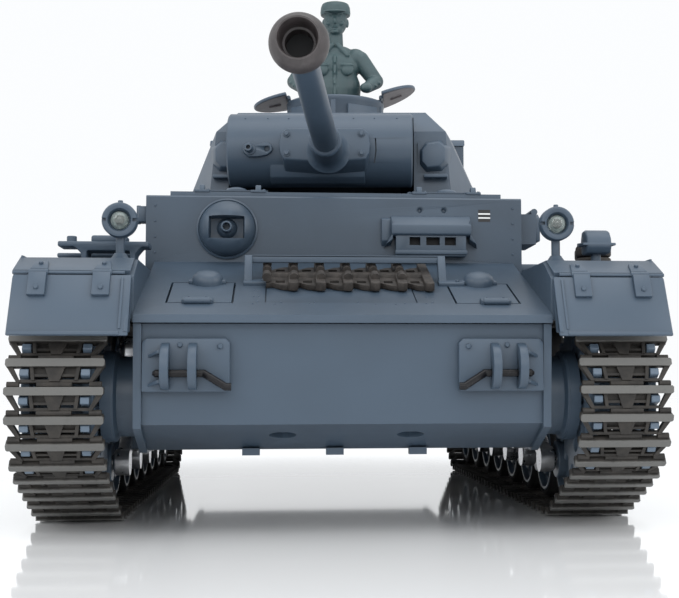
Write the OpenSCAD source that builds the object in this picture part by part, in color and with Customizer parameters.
// Radio-controlled 1:16 medium tank. Millimetres, +Z up, the tank faces -Y, its left side is +X.
// The origin is on the ground under the middle of the whole model.

/* [Hull] */
// Width over the side plates of the lower hull
hull_w = 115.2; // [112:0.2:118]
// Height of the belly above the ground
belly_z = 22.4; // [21:0.2:24]
// Height of the joint between the lower and the upper hull
seam_z = 57.6; // [57:0.1:58]
// Thickness of the moulded walls
wall = 2.2; // [1.8:0.1:2.6]
// Y of the nose plate
nose_y = -144; // [-145:0.5:-143]
// Y of the rear plate
tail_y = 190; // [186:0.5:192]
// Width over both fenders
fender_w = 180; // [178:0.5:182]
// Height of the fender tops
fender_z = 76.5; // [75.5:0.1:77]
// Y of the superstructure's front plate
front_y = -86.25; // [-88:0.25:-85]
// Height of the superstructure's front plate
front_top_z = 101.3; // [100:0.1:102]

/* [Running gear] */
// Distance of each track's middle from the middle of the tank
track_x = 77.6; // [77:0.1:78.5]
// Width of a track
track_w = 26; // [25:0.5:26.5]
// Length of one track link from pin to pin
link_pitch = 7.5; // [7.4:0.05:7.6]
// Number of links in each track
link_count = 96; // [96:1:96]
// Distance along the track from the sprocket's top to the first link's pin
link_phase = 4.4; // [3.5:0.1:5]
// Radius of a road wheel over its tyre
wheel_r = 14.2; // [13.6:0.1:14.4]
// Height of the road wheel axles
wheel_z = 17.5; // [17.4:0.1:18]
// Y of the first road wheel's axle
first_wheel_y = -97.75; // [-98:0.25:-97]
// Distance between neighbouring road wheels
wheel_step = 30.8; // [30.4:0.1:31]
// Number of teeth on each sprocket ring
sprocket_teeth = 20; // [20:1:20]
// Y of the drive sprocket's axle
sprocket_y = -125.65; // [-126:0.05:-125]
// Height of the drive sprocket's axle
sprocket_z = 37.7; // [37:0.1:38.5]
// Radius of the idler over its rims
idler_r = 17.5; // [17:0.1:17.8]
// Y of the idler's axle
idler_y = 163.5; // [163:0.1:164]
// Height of the idler's axle
idler_z = 40; // [39.5:0.1:40.5]
// Radius of a return roller
roller_r = 7.4; // [7:0.1:7.6]
// Radius of the stub axles of wheels, rollers and idlers
axle_r = 2; // [1.8:0.1:2.2]
// Clearance of every turning fit, on the radius
running_gap = 0.05; // [0.03:0.01:0.08]

/* [Turret] */
// X of the turret's turning axis
turret_x = 4.2; // [3.5:0.1:5]
// Y of the turret's turning axis
turret_y = 5.75; // [5:0.25:6.5]
// Angle that the gun points away from straight ahead
turret_yaw = -4.9; // [-6:0.1:0]
// Height of the turret's lower edge
turret_z = 104.5; // [104:0.1:105]
// Height of the turret's flat roof
roof_z = 139.3; // [138:0.1:140]
// Radius of the turret ring's collar
collar_r = 46.7; // [46:0.1:47]
// Teeth of the turret ring
ring_teeth = 60; // [60:1:60]
// Teeth of the traverse pinion
pinion_teeth = 10; // [10:1:10]

/* [Gun] */
// Height of the gun's axis
gun_z = 120.3; // [120:0.1:121]
// Distance of the trunnions ahead of the turret's axis
trunnion_dist = 52; // [51:0.5:53]
// Height of the trunnions
trunnion_z = 123.5; // [123:0.1:124]
// Radius of the mantlet's drum
drum_r = 13; // [12.5:0.1:13.2]
// Distance of the muzzle ball ahead of the turret's axis
muzzle_dist = 210.8; // [205:0.5:212]
// Radius of the muzzle ball
muzzle_r = 7.15; // [6.8:0.05:7.4]

/* [Cupola] */
// X of the cupola in the turret
cupola_x = -2; // [-3:0.1:-1]
// Distance of the cupola behind the turret's axis
cupola_y = 35; // [34:0.5:36]
// Outer radius of the cupola
cupola_r = 20.5; // [20:0.1:21]
// Height of the cupola's rim
cupola_top = 159; // [158:0.1:160]

/* [Hidden] */

LEFT = 1;
RIGHT = -1;
side_x = hull_w / 2;
fender_x = fender_w / 2;

// Track: the height of its pins above the ground, and its thickness inside and outside of them
pin_height = 1.6;
link_inner = 1.2;
link_outer = 0.6;
horn_height = 3;
wrap_gap = 0.5;
sprocket_pitch_r = link_pitch * sprocket_teeth / (2 * PI);
wheel_wrap_r = wheel_z - pin_height;
idler_wrap_r = idler_r + wrap_gap + link_inner;
last_wheel_y = first_wheel_y + 7 * wheel_step;
wheel_ys = [for (i = [0:7]) first_wheel_y + i * wheel_step];
roller_ys = [for (i = [0:3]) first_wheel_y + (2 * i + 0.5) * wheel_step + 8];

// The track runs round these four circles, anticlockwise as seen from the tank's left side
wrap_circles = [
  [sprocket_y, sprocket_z, sprocket_pitch_r],
  [first_wheel_y, wheel_z, wheel_wrap_r],
  [last_wheel_y, wheel_z, wheel_wrap_r],
  [idler_y, idler_z, idler_wrap_r]
];
function wrap_c(i) = [wrap_circles[i % 4][0], wrap_circles[i % 4][1]];
function wrap_r(i) = wrap_circles[i % 4][2];
function run_vector(i) = wrap_c(i + 1) - wrap_c(i);
function run_drop(i) = wrap_r(i + 1) - wrap_r(i);
function run_heading(i) = atan2(run_vector(i)[1], run_vector(i)[0])
                          - asin(run_drop(i) / norm(run_vector(i)));
function run_len(i) = sqrt(run_vector(i) * run_vector(i) - run_drop(i) * run_drop(i));
function arc_turn(i) = (run_heading(i) - run_heading(i + 3) + 720) % 360;
function arc_len(i) = wrap_r(i) * arc_turn(i) * PI / 180;
function rim_point(i, heading) = wrap_c(i) + wrap_r(i) * [sin(heading), -cos(heading)];
function track_point(s, i = 0) =
  s < arc_len(i)
    ? rim_point(i, run_heading(i + 3) + s / wrap_r(i) * 180 / PI)
    : s < arc_len(i) + run_len(i)
      ? rim_point(i, run_heading(i))
        + (s - arc_len(i)) * [cos(run_heading(i)), sin(run_heading(i))]
      : track_point(s - arc_len(i) - run_len(i), i + 1);
track_len = arc_len(0) + arc_len(1) + arc_len(2) + arc_len(3)
            + run_len(0) + run_len(1) + run_len(2) + run_len(3);
link_step = track_len / link_count;
function pin_point(k) = track_point((link_phase + k * link_step) % track_len);
function roller_z(y) = sprocket_z + sprocket_pitch_r - link_inner - wrap_gap - roller_r
                       + (y - sprocket_y) * tan(run_heading(3) + 180);

// Turret ring gear
ring_pitch_r = 42;
pinion_pitch_r = ring_pitch_r * pinion_teeth / ring_teeth;
pinion_dist = ring_pitch_r - pinion_pitch_r;
pinion_shaft_r = 2;

hull_blue = [0.33, 0.39, 0.47];
track_brown = [0.13, 0.12, 0.11];

// ---- helpers -------------------------------------------------------------

module block(x0, x1, y0, y1, z0, z1)
  translate([x0, y0, z0]) cube([x1 - x0, y1 - y0, z1 - z0]);

// A plate whose outline is drawn in Y and Z, between two values of X
module side_slab(x0, x1, outline)
  translate([x0, 0, 0]) rotate([90, 0, 90]) linear_extrude(x1 - x0) polygon(outline);

module rod_x(x0, x1, y, z, r, sides = 48)
  translate([x0, y, z]) rotate([0, 90, 0]) cylinder(r = r, h = x1 - x0, $fn = sides);

module rod_y(y0, y1, x, z, r, sides = 48)
  translate([x, y1, z]) rotate([90, 0, 0]) cylinder(r = r, h = y1 - y0, $fn = sides);

module post(x, y, z0, z1, r, r_top = undef)
  translate([x, y, z0])
    cylinder(r1 = r, r2 = is_undef(r_top) ? r : r_top, h = z1 - z0, $fn = 48);

// What is drawn on the left is put on the given side
module on_side(side)
  mirror([side == RIGHT ? 1 : 0, 0, 0]) children();

module both_sides() {
  on_side(LEFT) children();
  on_side(RIGHT) children();
}

// The turret's own frame: its axis is the origin, its gun points along -Y
module in_turret()
  translate([turret_x, turret_y, 0]) rotate([0, 0, turret_yaw]) children();

// ---- lower hull ----------------------------------------------------------

nose_bend_z = 30;
tub_outline = [
  [nose_y, seam_z], [nose_y + 2, nose_bend_z], [nose_y + 20, belly_z],
  [tail_y - 26, belly_z], [tail_y - 4, 36], [tail_y, seam_z]
];
tub_inside = [
  [nose_y + wall, seam_z + 1], [nose_y + 2 + wall, nose_bend_z + 1],
  [nose_y + 20.6, belly_z + wall], [tail_y - 26.6, belly_z + wall],
  [tail_y - 4 - wall, 37], [tail_y - wall, seam_z + 1]
];
rim_proud = 1.5;
rim_outline = [
  [nose_y - rim_proud, seam_z], [nose_y + 0.5, nose_bend_z - 1],
  [nose_y + 20, belly_z - 0.8], [tail_y - 26, belly_z - 0.8],
  [tail_y - 3, 35], [tail_y, seam_z]
];
final_drive_r = 13;
final_drive_x = track_x - 10.3;
shaft_r = 2.5;

module final_drive_body() {
  rod_x(side_x - wall, final_drive_x - 3, sprocket_y, sprocket_z, final_drive_r - 2);
  rod_x(final_drive_x - 3, final_drive_x, sprocket_y, sprocket_z, final_drive_r);
  for (i = [0:11])
    translate([final_drive_x, sprocket_y, sprocket_z])
      rotate([i * 30 + 15, 0, 0])
        translate([0, final_drive_r - 1.6, 0])
          rotate([0, 90, 0])
            cylinder(r = 0.9, h = 0.6, $fn = 6);
}

module hull_tub() color(hull_blue)
  difference() {
    union() {
      difference() {
        side_slab(-side_x + wall, side_x - wall, tub_outline);
        side_slab(-side_x + wall - 1, side_x - wall + 1, tub_inside);
      }
      both_sides() {
        side_slab(side_x - wall, side_x, rim_outline);
        final_drive_body();
      }
      // Pinion motor shelf across the tub under the turret ring
      block(-side_x + 1, side_x - 1, turret_y + pinion_dist - 12, turret_y + pinion_dist + 12,
            60, 62);
      both_sides() block(side_x - wall - 3, side_x - wall, turret_y + pinion_dist - 12,
                         turret_y + pinion_dist + 12, 52, 61);
      post(turret_x, turret_y + pinion_dist, 61, 84, 9);
      // Small lugs under the front edge of the belly
      for (x = [-26, -2, 22])
        block(x - 2.5, x + 2.5, nose_y + 17, nose_y + 21, belly_z - 1.6, belly_z + 0.4);
    }
    both_sides() rod_x(side_x - wall - 1, final_drive_x + 2, sprocket_y, sprocket_z,
                       shaft_r + running_gap);
    post(turret_x, turret_y + pinion_dist, 64, 90, pinion_shaft_r + running_gap);
    // Oval drain recesses on the lower slope
    for (x = [-17, 19])
      translate([x, nose_y + 9.5, nose_bend_z - 3.5])
        rotate([-23, 0, 0])
          scale([1.6, 1, 1])
            cylinder(r = 2.4, h = 4, center = true, $fn = 32);
  }

// ---- upper hull ----------------------------------------------------------

deck_z = 96;
deck_y = 61;
body_x = 60.5;
glacis_foot_z = 80;
lip_y = nose_y - 3;
lip_z = 60;
fender_t = 2;
fender_front_y = -134.25;
fender_back_y = 195.5;
flap_hinge = [-145.25, 71.4];

module glacis()
  side_slab(-side_x, side_x, [
    [lip_y, seam_z + 0.2], [lip_y, lip_z], [front_y, glacis_foot_z],
    [front_y + 3, glacis_foot_z], [front_y + 3, glacis_foot_z - wall - 2],
    [nose_y + 4, seam_z + 0.2]
  ]);

// The walls that close the hull's sides from the seam up to the fenders
module hull_cheeks()
  both_sides()
    side_slab(side_x, side_x + 2, [
      [flap_hinge[0], seam_z + 1.2], [flap_hinge[0], flap_hinge[1] - 1],
      [fender_front_y, fender_z - 0.5], [fender_back_y - 6, fender_z - 0.5],
      [fender_back_y - 6, seam_z + 1.2]
    ]);

module fenders()
  both_sides()
    side_slab(side_x + 1, fender_x, [
      [flap_hinge[0] + 1.2, flap_hinge[1] - 0.6], [flap_hinge[0] + 0.6, flap_hinge[1] + 0.7],
      [fender_front_y, fender_z], [fender_back_y, fender_z],
      [fender_back_y, fender_z - fender_t], [fender_front_y + 0.6, fender_z - fender_t]
    ]);

superstructure_outline = [
  [front_y, fender_z - 1], [front_y, front_top_z - 0.5], [front_y + 0.5, front_top_z],
  [deck_y, front_top_z], [deck_y + 8, deck_z], [tail_y - 12, deck_z], [tail_y + 2, 84],
  [tail_y + 2, fender_z - 1]
];
superstructure_inside = [
  [front_y + wall, seam_z - 1], [front_y + wall, front_top_z - wall],
  [deck_y - 1, front_top_z - wall], [deck_y + 7, deck_z - wall],
  [tail_y - 13, deck_z - wall], [tail_y - 1, 82], [tail_y - 1, seam_z - 1]
];

// Bow machine gun: the middle of its ball, and the flat dome round it with a square window
gun_ball = [-34.8, 90.6];
gun_ball_r = 4.2;
gun_seat_r = gun_ball_r + 0.4;
dome_profile = [[0, -1], [9.7, -1], [9.7, 0.9], [8.7, 2.2], [7.7, 4], [6, 5.5], [3.6, 6.6], [0, 7]];

module at_gun_ball()
  translate([gun_ball[0], front_y, gun_ball[1]]) children();

module bow_gun_housing()
  at_gun_ball()
    difference() {
      rotate([90, 0, 0]) rotate_extrude($fn = 64) polygon(dome_profile);
      block(-5.4, 5.4, -20, 0, -3.4, 3.4);
    }

module upper_hull() color(hull_blue)
  difference() {
    union() {
      difference() {
        side_slab(-body_x, body_x, superstructure_outline);
        side_slab(-body_x + wall, body_x - wall, superstructure_inside);
      }
      glacis();
      hull_cheeks();
      fenders();
      // Raised roof plate ahead of the turret
      block(-53, 54, front_y + 1.5, -44, front_top_z - 0.5, front_top_z + 1.5);
      bow_gun_housing();
      // Vision visor box on the left wall
      block(body_x - 0.5, body_x + 6, front_y + 6, front_y + 26, 87, 97);
      // Rear hull plate
      block(-side_x, side_x, tail_y, tail_y + 2, seam_z + 0.2, fender_z);
      // Radiator louvre boxes at the sides of the engine deck
      both_sides() block(body_x - 12, body_x + 8, deck_y + 20, tail_y - 22, fender_z - 1, 90);
      // Two front roof hatches
      for (x = [-34, 36])
        block(x - 12, x + 12, front_y + 8, front_y + 30, front_top_z + 1, front_top_z + 3);
    }
    // Turret opening, and the room for the ring below it
    translate([turret_x, turret_y, 80]) cylinder(r = collar_r + 0.3, h = 40, $fn = 96);
    at_gun_ball() sphere(r = gun_seat_r, $fn = 48);
    // Access hatch outlines on the glacis
    for (x = [-50, 32])
      translate([x, -134, 60]) rotate([18.1, 0, 0])
        difference() {
          cube([19, 24, 10]);
          translate([0.6, 0.6, -1]) cube([17.8, 22.8, 20]);
          translate([-1, -1, -1]) cube([30, 30, 3.4]);
        }
  }

// ---- front fittings ------------------------------------------------------

flap_t = 1.8;
flap_drop = [-154.25, 54];

flap_pin_r = 0.5;

module mud_flap(side) color(hull_blue)
  on_side(side) {
    difference() {
      union() {
        side_slab(side_x + 0.4, fender_x, [
          [flap_hinge[0] - 0.6, flap_hinge[1]], flap_drop, flap_drop + [flap_t, -0.2],
          [flap_hinge[0] + 0.6, flap_hinge[1] - 1.8], [flap_hinge[0] + 0.1, flap_hinge[1]]
        ]);
        // Hinge straps on the outer face
        for (x = [66, 83])
          side_slab(x - 2.5, x + 2.5, [
            flap_hinge + [-0.4, 0.2], flap_hinge + [-3.6, -6.4],
            flap_hinge + [-2.6, -6.4], flap_hinge + [0.4, -0.6]
          ]);
      }
      // Clearance for the turning edge under the fender
      block(0, 100, flap_hinge[0] - 0.25, flap_hinge[0] + 5, flap_hinge[1] - 6, flap_hinge[1] + 5);
    }
    rod_x(side_x + 2.4, fender_x, flap_hinge[0], flap_hinge[1], flap_pin_r);
  }

bracket_t = 2;
tow_pin_r = 1.1;
tow_pin_z = 44;
lug_y = nose_y - 3.4;

module tow_brackets() color(hull_blue)
  both_sides()
    difference() {
      union() {
        block(31.4, 55.2, nose_y - bracket_t + 0.2, nose_y + 0.2, 39, 53.6);
        for (x = [40.2, 47.6])
          side_slab(x, x + 2.4, [
            [nose_y, 53], [nose_y - 2, 53.4], [nose_y - 8, 47.5], [nose_y - 8, 41],
            [nose_y - 2, 39.4], [nose_y, 39.6]
          ]);
      }
      rod_x(30, 56, lug_y, tow_pin_z, tow_pin_r + 0.1);
    }

module tow_pin(side) color([0.06, 0.06, 0.07])
  on_side(side) {
    rod_x(32, 51.5, lug_y, tow_pin_z, tow_pin_r);
    translate([32, lug_y, tow_pin_z]) sphere(r = tow_pin_r, $fn = 48);
    translate([32, lug_y, tow_pin_z])
      rotate([115, 0, 0])
        cylinder(r = tow_pin_r, h = 6, $fn = 48);
  }

rack_y = -109.5;
spare_count = 6;
spare_pitch = 8.3;
glacis_slope = atan2(glacis_foot_z - lip_z, front_y - lip_y);
function glacis_z(y) = lip_z + (y - lip_y) * tan(glacis_slope);

// Six joined links lie across the glacis under a bent bar
module spare_link_rack() {
  color(hull_blue) {
    block(-28.2, 31.8, rack_y - 1.2, rack_y + 1.2, 77.4, 79.6);
    for (x = [-27, 30.6])
      side_slab(x - 1.2, x + 1.2, [
        [rack_y - 1.2, 79.4], [rack_y - 6.2, glacis_z(rack_y - 6.2)],
        [rack_y - 3.4, glacis_z(rack_y - 3.4)], [rack_y + 1.2, 78]
      ]);
  }
  color([0.25, 0.2, 0.17])
    for (i = [0:spare_count - 1])
      translate([-15.8 + i * spare_pitch, rack_y - 0.5, glacis_z(rack_y - 0.5) + 1])
        rotate([glacis_slope, 0, 0])
          rotate([0, 0, 90])
            spare_link();
}

module spare_link() {
  translate([0, 0, 0.2]) linear_extrude(1.8)
    polygon([[-12.5, 0.6], [12.5, 0.6], [12.5, 2.4], [9.6, 6.8], [-9.6, 6.8], [-12.5, 2.4]]);
  translate([-12.5, 0.6, -0.8]) cube([25, 1.8, 2]);
}

lamp_x = 64.2;
lamp_y = -122.25;
lamp_z = 88.5;
lamp_r = 5.1;

module headlamps() color(hull_blue)
  both_sides() {
    difference() {
      union() {
        rod_y(lamp_y - 2.6, lamp_y + 2, lamp_x, lamp_z, lamp_r);
        translate([lamp_x, lamp_y + 2, lamp_z]) sphere(r = 4.4, $fn = 48);
        post(lamp_x, lamp_y + 1, fender_z + 1.5, lamp_z, 1.4);
        post(lamp_x, lamp_y + 1, fender_z, fender_z + 2, 3.6, 2.2);
        post(lamp_x, lamp_y, lamp_z + lamp_r - 0.4, lamp_z + lamp_r + 0.8, 0.8);
      }
      rod_y(lamp_y - 4, lamp_y - 1, lamp_x, lamp_z, 2.7);
    }
  }

lens_r = 2.6;

// Domed clear lens in each lamp's mouth
module lamp_lenses() color([0.8, 0.85, 0.85])
  both_sides()
    translate([lamp_x, lamp_y - 1.05, lamp_z])
      rotate([90, 0, 0])
        rotate_extrude($fn = 64)
          intersection() {
            circle(r = lens_r, $fn = 64);
            square(2 * lens_r);
          }

blackout_y = -119.25;

module blackout_lamp() color(hull_blue) {
  side_slab(72.1, 82.3, [
    [blackout_y - 4, 80.4], [blackout_y - 3.4, 83.6], [blackout_y, 87.3],
    [blackout_y + 4, 87.3], [blackout_y + 5, 84], [blackout_y + 4, 79.7]
  ]);
  post(77.2, blackout_y + 1, fender_z, 80.5, 1.5);
  post(77.2, blackout_y + 1, fender_z, fender_z + 1, 3.2);
}

module drivers_visor() color(hull_blue)
  difference() {
    union() {
      // Hood over the vision block
      side_slab(16.3, 44.3, [
        [front_y, 94.9], [front_y - 1.6, 94.6], [front_y - 4.6, 91.6],
        [front_y - 4.6, 90.2], [front_y, 90.2]
      ]);
      // Slotted vision block
      block(17.6, 44.2, front_y - 3.6, front_y, 82.4, 90.4);
      side_slab(12.6, 17.8, [
        [front_y, 84], [front_y - 2.4, 84], [front_y - 2.4, 88.6], [front_y, 91]
      ]);
    }
    for (x = [20.4, 28, 35.6])
      block(x, x + 5.4, front_y - 5, front_y - 2.4, 84.6, 88.4);
  }

module bow_gun() color([0.2, 0.22, 0.25])
  at_gun_ball()
    difference() {
      union() {
        sphere(r = gun_ball_r, $fn = 48);
        rod_y(-7.3, 0, 0, 0, 1.75);
      }
      rod_y(-9, -4.8, 0, 0, 1.1);
    }

muffler_y = 200.6;
muffler_z = 60;
muffler_r = 7.7;
strap_r = muffler_r + 0.8;

module exhaust_muffler() color(hull_blue) {
  rod_x(-46, 46, muffler_y, muffler_z, muffler_r);
  for (x = [-30, 30]) {
    block(x - 3, x + 3, tail_y + 2, muffler_y, muffler_z - 3, muffler_z + 3);
    difference() {
      rod_x(x - 3.5, x + 3.5, muffler_y, muffler_z, strap_r);
      rod_x(x - 5, x + 5, muffler_y, muffler_z, muffler_r - 0.5);
    }
  }
  rod_y(muffler_y, muffler_y + 11, 38, muffler_z + 2, 2.6);
}

// Bridge over the right fender: its deck, its two feet and their ends along the fender
bridge_x = [-76.8, -61.6];
bridge_deck_z = [79.8, 84.2];
bridge_y = -105;
foot_w = 3.2;

module bridge_foot(x)
  side_slab(x, x + foot_w, [
    [bridge_y - 9, fender_z], [bridge_y + 9, fender_z],
    [bridge_y + 7, bridge_deck_z[0] + 0.2], [bridge_y - 7, bridge_deck_z[0] + 0.2]
  ]);

module bridge() {
  bridge_foot(bridge_x[0]);
  bridge_foot(bridge_x[1] - foot_w);
  block(bridge_x[0], bridge_x[1], bridge_y - 5, bridge_y + 5, bridge_deck_z[0], bridge_deck_z[1]);
}

shackle_r = 5.6;
shackle_t = 3.6;
shackle_pos = [79.4, -106];

module shackle()
  difference() {
    union() {
      cylinder(r = shackle_r, h = shackle_t, $fn = 48);
      translate([-4, 0, 0]) cube([8, 12, shackle_t]);
    }
    translate([0, 0, -1]) cylinder(r = 2.2, h = shackle_t + 2, $fn = 32);
  }

box_inner = 66;
box_outer = 86;

module fender_fittings() color([0.22, 0.18, 0.15]) {
  bridge();
  // Wooden jack block ahead of the bridge
  block(-box_outer, -79, -100, -80, fender_z, fender_z + 8);
  // Two stacked shackles behind the convoy lamp
  for (i = [0, 1])
    translate([shackle_pos[0], shackle_pos[1], fender_z + i * (shackle_t + 0.2)]) shackle();
  // Tool box, and the jack on the other fender
  block(box_inner, box_outer, -20, 30, fender_z, fender_z + 9.5);
  block(-box_outer, -box_inner, 20, 62, fender_z, fender_z + 7.5);
}

// ---- tracks and running gear ---------------------------------------------

link_gap = 0.95;
bar_w = 1.6;

module track_link() {
  inner = link_inner;
  difference() {
    translate([0, 0, -inner])
      linear_extrude(inner + link_outer)
        polygon([
          [-track_w / 2, link_gap], [track_w / 2, link_gap], [track_w / 2, link_gap + bar_w],
          [9.8, link_step - link_gap], [-9.8, link_step - link_gap],
          [-track_w / 2, link_gap + bar_w]
        ]);
    for (s = [-1, 1])
      translate([0, 0, -inner - 1])
        linear_extrude(inner + link_outer + 2)
          polygon([[6.4 * s, 2.8], [11 * s, 2.8], [9 * s, 5.6], [6.4 * s, 5.6]]);
  }
  translate([-track_w / 2, link_gap, 0]) cube([track_w, bar_w, pin_height]);
  translate([-1.5, 2.8, -inner - horn_height]) cube([3, 2.6, horn_height + 0.1]);
  rotate([0, 90, 0]) cylinder(r = 0.72, h = track_w - 1, center = true, $fn = 24);
}

module track(side) color(track_brown)
  on_side(side)
    for (k = [0:link_count - 1]) {
      a = pin_point(k);
      b = pin_point(k + 1);
      translate([track_x, a[0], a[1]])
        rotate([atan2(b[1] - a[1], b[0] - a[0]), 0, 0])
          mirror([0, 0, 1])
            track_link();
    }

tooth_count_angle = 360 / sprocket_teeth;
ring_offset = 8.05;
ring_t = 2.4;
tooth_tip_r = sprocket_pitch_r - link_inner - wrap_gap;

module sprocket_ring()
  difference() {
    union() {
      cylinder(r = tooth_tip_r - 2.4, h = ring_t, center = true, $fn = 96);
      for (i = [0:sprocket_teeth - 1])
        rotate([0, 0, i * tooth_count_angle])
          translate([0, 0, -ring_t / 2])
            linear_extrude(ring_t)
              polygon([[tooth_tip_r - 4, -2], [tooth_tip_r - 4, 2],
                       [tooth_tip_r, 1.1], [tooth_tip_r, -1.1]]);
    }
    for (i = [0:7])
      rotate([0, 0, i * 45]) translate([13.4, 0, 0])
        cylinder(r = 2.4, h = ring_t + 2, center = true, $fn = 32);
  }

module sprocket(side) color(hull_blue)
  on_side(side)
    translate([track_x, sprocket_y, sprocket_z])
      rotate([0, 90, 0]) {
        for (z = [-ring_offset, ring_offset]) translate([0, 0, z]) sprocket_ring();
        cylinder(r = 9.4, h = 2 * ring_offset, center = true, $fn = 64);
        translate([0, 0, ring_offset]) cylinder(r1 = 8.4, r2 = 5.4, h = 5.4, $fn = 64);
        translate([0, 0, 45 - track_x]) cylinder(r = shaft_r, h = track_x - 45, $fn = 48);
      }

// A road wheel's two discs, which clear the sprocket's teeth on their inner side
disc_r = 12;
disc_gap = 2.2;
wheel_face = 6.6;
disc_w = wheel_face - disc_gap;

module road_wheel(side, y) color(hull_blue)
  on_side(side)
    translate([track_x, y, wheel_z])
      rotate([0, 90, 0]) {
        difference() {
          union() {
            for (z = [-wheel_face, disc_gap])
              translate([0, 0, z]) cylinder(r = disc_r, h = disc_w, $fn = 64);
            cylinder(r = 6, h = 18.4, center = true, $fn = 48);
            translate([0, 0, 9.2]) cylinder(r1 = 5, r2 = 3.6, h = 2, $fn = 48);
          }
          translate([0, 0, wheel_face - 1.6])
            difference() {
              cylinder(r = disc_r - 1.6, h = 3, $fn = 64);
              cylinder(r = 6, h = 3, $fn = 48);
            }
          translate([0, 0, -10]) cylinder(r = axle_r + running_gap, h = 17.6, $fn = 48);
        }
        difference() {
          translate([0, 0, 6]) cylinder(r = 5, h = 4, $fn = 48);
          translate([0, 0, -10]) cylinder(r = axle_r + running_gap, h = 17.6, $fn = 48);
        }
        for (z = [-wheel_face, disc_gap])
          translate([0, 0, z])
            difference() {
              cylinder(r = wheel_r, h = disc_w, $fn = 64);
              translate([0, 0, -1]) cylinder(r = disc_r, h = disc_w + 2, $fn = 64);
            }
      }

module return_roller(side, y) color(hull_blue)
  on_side(side)
    translate([track_x, y, roller_z(y)])
      rotate([0, 90, 0])
        difference() {
          union() {
            for (z = [-7.4, 2.2]) translate([0, 0, z]) cylinder(r = roller_r, h = 5.2, $fn = 64);
            cylinder(r = 4.2, h = 14.8, center = true, $fn = 48);
            translate([0, 0, 7.4]) cylinder(r1 = 3.8, r2 = 3, h = 1.2, $fn = 48);
          }
          translate([0, 0, -8]) cylinder(r = axle_r + running_gap, h = 13.6, $fn = 48);
        }

module idler(side) color(hull_blue)
  on_side(side)
    translate([track_x, idler_y, idler_z])
      rotate([0, 90, 0])
        difference() {
          union() {
            for (z = [-6.4, 2.4])
              translate([0, 0, z]) {
                difference() {
                  cylinder(r = idler_r, h = 4, $fn = 96);
                  translate([0, 0, -1]) cylinder(r = idler_r - 3, h = 6, $fn = 96);
                }
                for (i = [0:6])
                  rotate([0, 0, i * 360 / 7])
                    translate([4, -1.2, 1]) cube([idler_r - 6, 2.4, 2]);
              }
            cylinder(r = 5.4, h = 14, center = true, $fn = 48);
            translate([0, 0, 7]) cylinder(r1 = 4.4, r2 = 3.4, h = 1.6, $fn = 48);
          }
          translate([0, 0, -8]) cylinder(r = axle_r + running_gap, h = 13.6, $fn = 48);
        }

// Each pair of road wheels hangs from a bogie with two arms and a leaf spring
arm_x = 63.4;

module bogie(y) {
  block(side_x, 66.2, y - 7, y + 7, 20.5, 33);
  rod_x(side_x, 67.4, y, 24.5, 4.4);
  for (s = [-1, 1]) {
    side_slab(arm_x, 67.2, [
      [y + s * 4, 27.4], [y + s * (wheel_step / 2 + 3), 20.4],
      [y + s * (wheel_step / 2 + 3), 14.6], [y + s * (wheel_step / 2 - 4), 14.6],
      [y + s * 4, 21.4]
    ]);
    rod_x(arm_x, track_x + 6.4, y + s * wheel_step / 2, wheel_z, axle_r);
    rod_x(arm_x - 1, 67.6, y + s * wheel_step / 2, wheel_z, 4);
  }
}

module suspension(side) color([0.7, 0.72, 0.75])
  on_side(side) {
    for (i = [0:3]) bogie(first_wheel_y + (2 * i + 0.5) * wheel_step);
    for (y = roller_ys) {
      rod_x(side_x, 69.4, y, roller_z(y), 4);
      rod_x(side_x, track_x + 4.4, y, roller_z(y), axle_r);
    }
    rod_x(side_x, 70, idler_y, idler_z, 6);
    rod_x(side_x, track_x + 4.4, idler_y, idler_z, axle_r);
  }

// ---- turret --------------------------------------------------------------

// Outline of the turret at one height, as half widths along its length
function turret_plan(front_w, mid_w, rear_w, front, rear) = [
  [-front_w, front], [front_w, front], [mid_w, -22], [mid_w, 14],
  [rear_w, rear - 6], [rear_w - 7, rear], [7 - rear_w, rear], [-rear_w, rear - 6],
  [-mid_w, 14], [-mid_w, -22]
];

module turret_mass(t)
  hull() {
    translate([0, 0, turret_z + (t > 0 ? 2 : 0)])
      linear_extrude(0.1)
        polygon(turret_plan(43 - t, 56.7 - t, 40 - t, -52 + t, 68 - t));
    translate([0, 0, 131 - t / 3])
      linear_extrude(0.1)
        polygon(turret_plan(41 - t, 45.1 - t, 34 - t, -48.5 + t, 64 - t));
    translate([0, 0, roof_z - 0.1 - t])
      linear_extrude(0.1)
        polygon(turret_plan(34 - t, 37 - t, 28 - t, -42 + t, 59 - t));
  }

module ring_gear_teeth()
  for (i = [0:ring_teeth - 1])
    rotate([0, 0, i * 360 / ring_teeth])
      linear_extrude(6)
        polygon([
          [ring_pitch_r + 2, -1], [ring_pitch_r + 2, 1],
          [ring_pitch_r - 0.8, 0.45], [ring_pitch_r - 0.8, -0.45]
        ]);

drum_left = 29;
drum_right = -35.5;

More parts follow.
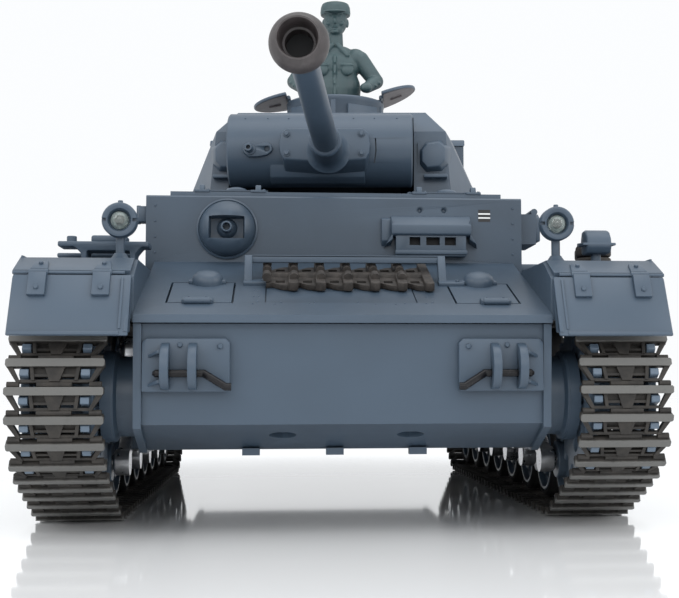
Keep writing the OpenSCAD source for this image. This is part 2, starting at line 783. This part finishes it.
module turret_shell() color(hull_blue)
  in_turret()
    difference() {
      union() {
        difference() {
          union() {
            turret_mass(0);
            // Side port lugs
            both_sides() block(43, 50.5, 6, 16, 124, 137);
            // Front vision blocks
            both_sides() block(31, 41, -54, -44, 116, 127);
          }
          turret_mass(wall);
        }
        translate([0, 0, 94])
          difference() {
            cylinder(r = collar_r, h = turret_z - 94 + 1, $fn = 96);
            translate([0, 0, -1]) cylinder(r = ring_pitch_r + 1.2, h = 20, $fn = 96);
          }
        translate([0, 0, 94]) ring_gear_teeth();
      }
      translate([0, 0, 100.2]) cylinder(r = ring_pitch_r - 3, h = 10, $fn = 96);
      // Opening in the front plate for the mantlet
      block(drum_right - 0.6, drum_left + 0.6, -80, -48, turret_z + 2.2, trunnion_z + 13.7);
      block(drum_right - 0.6, drum_left + 0.6, -50, -38, trunnion_z - 13.6, trunnion_z + 13.6);
      // Opening under the cupola
      translate([cupola_x, cupola_y, 130]) cylinder(r = cupola_r - 4.4, h = 20, $fn = 64);
    }

module mantlet() color(hull_blue)
  in_turret()
    difference() {
      union() {
        rod_x(drum_right, drum_left, -trunnion_dist, trunnion_z, drum_r, 96);
        // Plate that closes the drum below the gun
        side_slab(-17, 14.4, [
          [-trunnion_dist - 12, 118], [-trunnion_dist - 16.5, 117.4],
          [-trunnion_dist - 17, 128], [-trunnion_dist - 12, 129.5]
        ]);
        rod_y(-90, -trunnion_dist, 0, gun_z, 4.75, 64);
        // Hood of the coaxial gun
        rod_y(-trunnion_dist - 18, -trunnion_dist, -27.5, 122, 1);
      }
      rod_y(-95, -trunnion_dist + 8, 0, gun_z, 4.0, 64);
      rod_y(-trunnion_dist - 20, -trunnion_dist - 10, -22, 122, 0.9);
    }

module gun_barrel() color(hull_blue)
  in_turret()
    difference() {
      union() {
        rod_y(-96, -trunnion_dist + 8, 0, gun_z, 4, 64);
        translate([0, -95.9, gun_z])
          rotate([90, 0, 0])
            cylinder(r1 = 4.2, r2 = barrel_end_r, h = muzzle_dist - 95.9 - 5.6, $fn = 64);
      }
      rod_y(-muzzle_dist, -140, 0, gun_z, 2.6, 48);
    }

muzzle_bore_r = 4.5;
barrel_end_r = 3.5;

// Turned ball with a wide mouth at the front, pressed on the end of the barrel
module muzzle_brake() color([0.2, 0.18, 0.18])
  in_turret()
    translate([0, -muzzle_dist, gun_z])
      rotate([90, 0, 0])
        rotate_extrude($fn = 96)
          difference() {
            circle(r = muzzle_r, $fn = 96);
            translate([-20, -20]) square([20, 40]);
            translate([0, muzzle_r - 1]) square([20, 10]);
            translate([0, -2]) square([muzzle_bore_r, 20]);
            translate([0, -20]) square([barrel_end_r, 20]);
          }

module stowage_bin() color(hull_blue)
  in_turret()
    difference() {
      block(-32, 32, 68.3, 90, 110, 134);
      block(-30, 30, 70.3, 88, 112, 132);
    }

hinge_z = cupola_top + 1.6;
hinge_dx = cupola_r - 1.2;
hinge_pin_r = 0.8;

module in_cupola()
  in_turret() translate([cupola_x, cupola_y, 0]) children();

module cupola() color(hull_blue)
  in_cupola()
    difference() {
      union() {
        post(0, 0, roof_z, roof_z + 2.4, cupola_r + 2, cupola_r + 0.6);
        post(0, 0, roof_z, cupola_top, cupola_r);
        both_sides()
          block(cupola_r - 3.5, hinge_dx + 0.3, -4, 4, cupola_top - 1, hinge_z - hinge_pin_r);
      }
      post(0, 0, roof_z - 1, cupola_top + 3, cupola_r - 4.4);
      // Vision slits
      for (i = [0:4])
        rotate([0, 0, i * 72 + 18])
          block(cupola_r - 2, cupola_r + 2, -3.5, 3.5, 147.5, 151.5);
    }

leaf_len = 15.4;
leaf_t = 1.4;
open_angles = [20, -12];

// One half of the round lid, open outwards on its fore-and-aft hinge
module hatch_leaf(open_angle)
  translate([hinge_dx, 0, hinge_z])
    rotate([0, -open_angle, 0]) {
      rod_y(-7, 7, 0, 0, hinge_pin_r);
      translate([0, 0, -leaf_t / 2])
        intersection() {
          translate([0.4, -leaf_len, 0]) cube([leaf_len, 2 * leaf_len, leaf_t]);
          translate([-1.5, 0, 0]) cylinder(r = leaf_len + 1.5, h = leaf_t, $fn = 64);
        }
    }

module hatch_left() color(hull_blue)
  in_cupola() hatch_leaf(open_angles[0]);

module hatch_right() color(hull_blue)
  in_cupola() on_side(RIGHT) hatch_leaf(open_angles[1]);

module limb(a, b, ra, rb)
  hull() {
    translate(a) sphere(r = ra, $fn = 20);
    translate(b) sphere(r = rb, $fn = 20);
  }

// Half figure with its hands on the rim of the cupola
module commander() color([0.13, 0.24, 0.26])
  in_cupola() {
    hull() {
      translate([0, 0, 146]) scale([1, 0.66, 1]) cylinder(r = 10.5, h = 1, $fn = 32);
      translate([0, 0, 170]) scale([1, 0.66, 1]) cylinder(r = 11.5, h = 1, $fn = 32);
      translate([0, 0, 182]) scale([1, 0.6, 1]) cylinder(r = 8.5, h = 1, $fn = 32);
    }
    both_sides() limb([11, 0, 178.5], [17.4, -1, 168.6], 3.8, 3.2);
    both_sides() limb([17.4, -1, 168.6], [13.2, -12, 163.4], 3.1, 2.4);
    translate([0, 0, 182]) cylinder(r = 3.8, h = 8, $fn = 32);
    translate([0, -1, 195]) scale([1, 1.14, 1.18]) sphere(r = 5.7, $fn = 32);
    translate([0, -1.5, 198]) cylinder(r1 = 7.4, r2 = 4.4, h = 4.8, $fn = 48);
  }

// ---- inside --------------------------------------------------------------

module battery() color([0.8, 0.3, 0.1])
  block(-24, 24, 20, 106, belly_z + wall + 0.4, 49);

module electronics() color([0.1, 0.4, 0.2]) {
  block(-36, 36, 112, 158, 30, 32);
  block(-20, 10, 118, 140, 31.8, 40);
  block(16, 30, 120, 150, 31.8, 38);
  for (x = [-32, 32], y = [116, 154]) post(x, y, belly_z + wall, 30.2, 2);
}

module drive_units() color([0.6, 0.6, 0.62])
  both_sides()
    difference() {
      union() {
        block(24, 53, nose_y + 10, nose_y + 32, 29.4, 52);
        rod_y(nose_y + 31.5, nose_y + 68, 38, 38, 9);
      }
      rod_x(44, 54, sprocket_y, sprocket_z, shaft_r + running_gap);
    }

module pinion_teeth_solid()
  for (i = [0:pinion_teeth - 1])
    rotate([0, 0, i * 360 / pinion_teeth + turret_yaw * ring_teeth / pinion_teeth])
      linear_extrude(5)
        polygon([
          [pinion_pitch_r - 2.4, -1.2], [pinion_pitch_r - 2.4, 1.2],
          [pinion_pitch_r + 0.7, 0.5], [pinion_pitch_r + 0.7, -0.5]
        ]);

module turret_pinion() color([0.85, 0.8, 0.6])
  translate([turret_x, turret_y + pinion_dist, 94.4]) {
    pinion_teeth_solid();
    cylinder(r = pinion_pitch_r - 1.4, h = 5, $fn = 48);
    translate([0, 0, 64.2 - 94.4]) cylinder(r = pinion_shaft_r, h = 94.6 - 64.2, $fn = 48);
  }

// ---- every piece ---------------------------------------------------------

hull_tub();
upper_hull();
mud_flap(LEFT);  // mud_flap_left
mud_flap(RIGHT);  // mud_flap_right
tow_brackets();
tow_pin(LEFT);  // tow_pin_left
tow_pin(RIGHT);  // tow_pin_right
spare_link_rack();
headlamps();
lamp_lenses();
blackout_lamp();
drivers_visor();
bow_gun();
exhaust_muffler();
fender_fittings();
track(LEFT);  // track_left
track(RIGHT);  // track_right
suspension(LEFT);  // suspension_left
suspension(RIGHT);  // suspension_right
sprocket(LEFT);  // sprocket_left
sprocket(RIGHT);  // sprocket_right
idler(LEFT);  // idler_left
idler(RIGHT);  // idler_right
for (i = [0:7]) {
  road_wheel(LEFT, wheel_ys[i]);
  road_wheel(RIGHT, wheel_ys[i]);
}
for (i = [0:3]) {
  return_roller(LEFT, roller_ys[i]);
  return_roller(RIGHT, roller_ys[i]);
}
turret_shell();
mantlet();
gun_barrel();
muzzle_brake();
stowage_bin();
cupola();
hatch_left();
hatch_right();
commander();
battery();
electronics();
drive_units();
turret_pinion();
